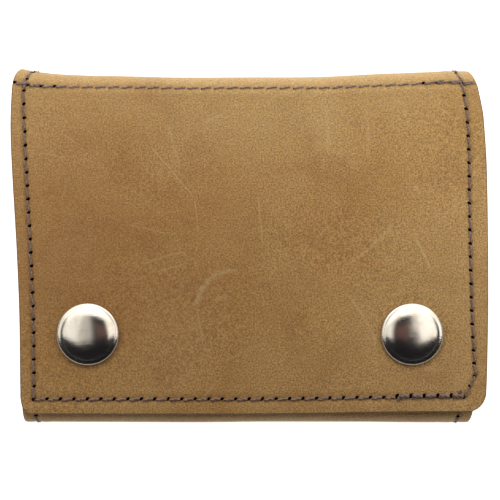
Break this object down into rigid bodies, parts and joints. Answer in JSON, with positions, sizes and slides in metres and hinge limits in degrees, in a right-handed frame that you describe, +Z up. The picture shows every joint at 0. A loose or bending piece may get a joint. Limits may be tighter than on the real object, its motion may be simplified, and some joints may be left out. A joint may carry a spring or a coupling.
{
  "type": "trifold snap wallet",
  "caption": "Compact trifold leather wallet with a front flap held by snaps, an inner flap with a zipped coin pocket, and card pockets.",
  "frame": {"origin": "centre of the closed wallet's box, on the face it lies on", "axes": "+X across the width, +Y towards the fold that the front flap opens over, +Z up out of the front flap"},
  "size_m": [0.113, 0.0844, 0.0198],
  "materials": {
    "tan_leather": "distressed waxed nubuck, matte",
    "pocket_leather": "matte",
    "lining_leather": "smooth matte",
    "thread": "twisted bonded thread",
    "snap_nickel": "polished nickel",
    "zip_metal": "satin nickel",
    "zip_tape": "woven herringbone tape"
  },
  "bodies": {
    "back": {"back_shell": "tan_leather", "back_lining": "lining_leather", "card_pocket_1": "pocket_leather", "card_pocket_2": "pocket_leather", "card_pocket_3": "pocket_leather", "back_thread": "thread"},
    "top_fold": {"top_fold_shell": "tan_leather", "top_fold_lining": "lining_leather", "top_fold_thread": "thread"},
    "front_flap": {"flap_shell": "tan_leather", "flap_lining": "lining_leather", "slip_pocket": "pocket_leather", "flap_thread": "thread", "snap_cap_left": "snap_nickel", "snap_cap_right": "snap_nickel", "snap_socket_left": "snap_nickel", "snap_socket_right": "snap_nickel", "socket_spring_left": "snap_nickel", "socket_spring_right": "snap_nickel"},
    "bottom_fold": {"bottom_fold_shell": "tan_leather", "bottom_fold_lining": "lining_leather", "bottom_fold_thread": "thread"},
    "inner_flap": {"inner_shell": "tan_leather", "inner_lining": "lining_leather", "coin_panel": "pocket_leather", "coin_welt": "lining_leather", "zip_tape_upper": "zip_tape", "zip_tape_lower": "zip_tape", "zip_teeth_upper": "zip_metal", "zip_teeth_lower": "zip_metal", "zip_stops": "zip_metal", "inner_thread": "thread", "snap_stud_left": "snap_nickel", "snap_stud_right": "snap_nickel", "stud_eyelet_left": "snap_nickel", "stud_eyelet_right": "snap_nickel"},
    "zip_slider": {"slider_body": "zip_metal"},
    "zip_pull": {"pull_eye": "zip_metal", "pull_tab": "tan_leather"}
  },
  "joints": [
    {"name": "top_fold_open", "type": "hinge", "parent": "back", "child": "top_fold", "pos_m": [0, 0.04083, 0.00117], "axis": [-1, 0, 0], "range_deg": [0, 78]},
    {"name": "front_flap_open", "type": "hinge", "parent": "top_fold", "child": "front_flap", "pos_m": [0, 0.04083, 0.01588], "axis": [-1, 0, 0], "range_deg": [0, 102.2]},
    {"name": "bottom_fold_open", "type": "hinge", "parent": "back", "child": "bottom_fold", "pos_m": [0, -0.04106, 0.00094], "axis": [1, 0, 0], "range_deg": [0, 41.2]},
    {"name": "inner_flap_open", "type": "hinge", "parent": "bottom_fold", "child": "inner_flap", "pos_m": [0, -0.04106, 0.01001], "axis": [1, 0, 0], "range_deg": [0, 83.2]},
    {"name": "zip_slide", "type": "slide", "parent": "inner_flap", "child": "zip_slider", "axis": [-1, 0, 0], "range_m": [0, 0.074]},
    {"name": "zip_pull_swing", "type": "hinge", "parent": "zip_slider", "child": "zip_pull", "pos_m": [0.0368, 0.003, 0.00545], "axis": [0, 0, 1], "range_deg": [-45, 45]}
  ],
  "couplings": [
    {"joint": "front_flap_open", "follows": "top_fold_open", "ratio": 1.3077},
    {"joint": "bottom_fold_open", "follows": "top_fold_open", "ratio": 0.5256},
    {"joint": "inner_flap_open", "follows": "top_fold_open", "ratio": 1.0641}
  ]
}
